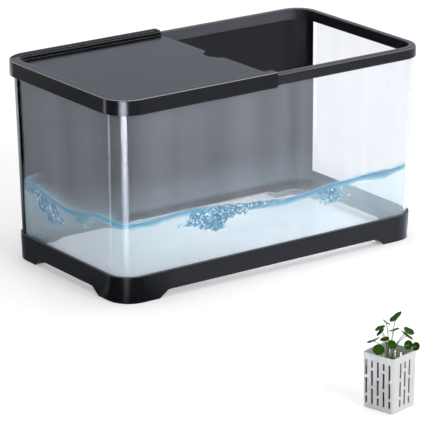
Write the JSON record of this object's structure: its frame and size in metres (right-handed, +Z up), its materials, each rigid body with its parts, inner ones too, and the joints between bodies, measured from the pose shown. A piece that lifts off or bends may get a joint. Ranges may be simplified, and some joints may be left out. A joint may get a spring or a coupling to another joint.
{
  "type": "aquarium starter kit",
  "caption": "Clear moulded turtle tank on a black footed base, with black rim, lift-off half cover, black background film and a slotted planting basket holding a round-leaved plant.",
  "frame": {"origin": "on the floor, under the middle of the space that the whole set takes up", "axes": "+X along the tank's length to its open right half, +Y from front to back, +Z up"},
  "size_m": [0.4026, 0.6156, 0.221],
  "materials": {
    "clear_plastic": "clear, polished, moulded in one piece",
    "black_plastic": "semi-gloss moulded black",
    "cover_plastic": "semi-gloss moulded dark grey",
    "black_film": "smooth glossy film",
    "basket_plastic": "satin pale grey",
    "dark_sponge": "open-celled dark sponge",
    "green_leaf": "waxy leaf with paler veins"
  },
  "bodies": {
    "root": {"tank_body": "clear_plastic", "base_frame": "black_plastic", "top_rim": "black_plastic", "half_cover": "cover_plastic", "background_film": "black_film", "planting_basket": "basket_plastic", "planting_sponge": "dark_sponge", "plant": "green_leaf"}
  },
  "joints": []
}
